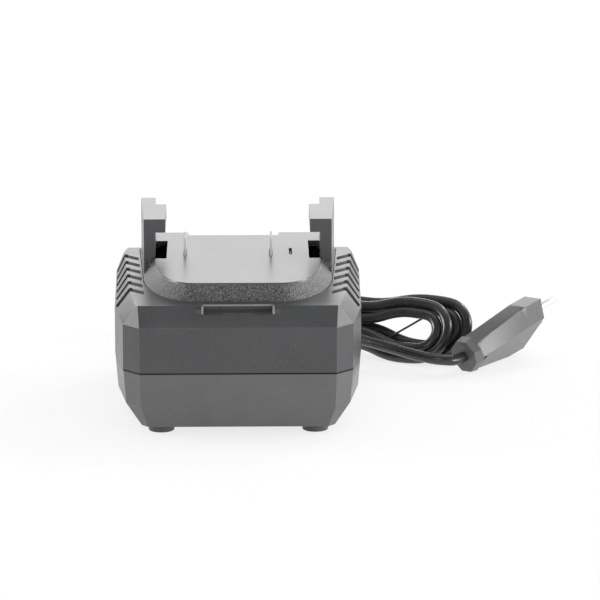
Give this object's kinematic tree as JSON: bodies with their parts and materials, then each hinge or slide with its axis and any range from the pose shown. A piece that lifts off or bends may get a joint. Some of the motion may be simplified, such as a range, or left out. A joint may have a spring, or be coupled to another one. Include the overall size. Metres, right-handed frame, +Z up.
{
  "type": "power tool battery charger",
  "caption": "Mains battery charger for cordless tools: grey two-part case, raised slide dock with rails and contact blades, rubber feet, and a wound mains lead with a two-pin plug.",
  "frame": {"origin": "on the resting surface, under the middle of the case", "axes": "+Z up, +X to the right and -Y out of the front, where the battery slides on"},
  "size_m": [0.215, 0.2047, 0.0866],
  "materials": {
    "upper_case": "fine grained charcoal grey plastic",
    "lower_case": "fine grained mid grey plastic",
    "dock": "charcoal grey plastic, coarse grain on the sides",
    "contact_metal": "tinned metal",
    "foot_rubber": "black rubber",
    "screw_steel": "plated steel",
    "board": "green lacquered laminate",
    "ferrite": "dark ferrite",
    "copper_winding": "yellow tape over copper",
    "black_part": "black moulded component",
    "blue_part": "blue coated component",
    "aluminium_part": "bare aluminium",
    "glass_part": "clear glass",
    "green_lens": "green translucent lens",
    "red_lens": "red translucent lens",
    "clear_plastic": "clear light guide",
    "cord_jacket": "satin black cord jacket",
    "plug_plastic": "grey plug plastic",
    "pin_metal": "nickel plated pins",
    "tie_plastic": "black coated tie"
  },
  "bodies": {
    "root": {"top_cover": "upper_case", "bottom_cover": "lower_case", "battery_dock": "dock", "contact_blade_left": "contact_metal", "contact_blade_right": "contact_metal", "signal_contact": "contact_metal", "terminal_block": "black_part", "foot_front_left": "foot_rubber", "foot_front_right": "foot_rubber", "foot_rear_left": "foot_rubber", "foot_rear_right": "foot_rubber", "case_screws": "screw_steel", "board_screws": "screw_steel", "circuit_board": "board", "transformer_core": "ferrite", "transformer_winding": "copper_winding", "filter_capacitor": "blue_part", "bridge_rectifier": "black_part", "mains_terminal": "black_part", "primary_heat_sink": "aluminium_part", "power_transistor": "black_part", "output_heat_sink": "aluminium_part", "output_diode": "black_part", "optocoupler": "black_part", "control_chip": "black_part", "bulk_capacitor": "blue_part", "output_capacitors": "blue_part", "mains_choke": "ferrite", "fuse_link": "glass_part", "indicator_green": "green_lens", "indicator_red": "red_lens", "light_guide": "clear_plastic", "board_lights": "clear_plastic", "strain_relief": "cord_jacket", "mains_wires": "cord_jacket", "plug_body": "plug_plastic", "plug_pins": "pin_metal", "cord_hank": "cord_jacket", "hank_tie": "tie_plastic", "cord_lead": "cord_jacket", "cord_tail": "cord_jacket"}
  },
  "joints": []
}
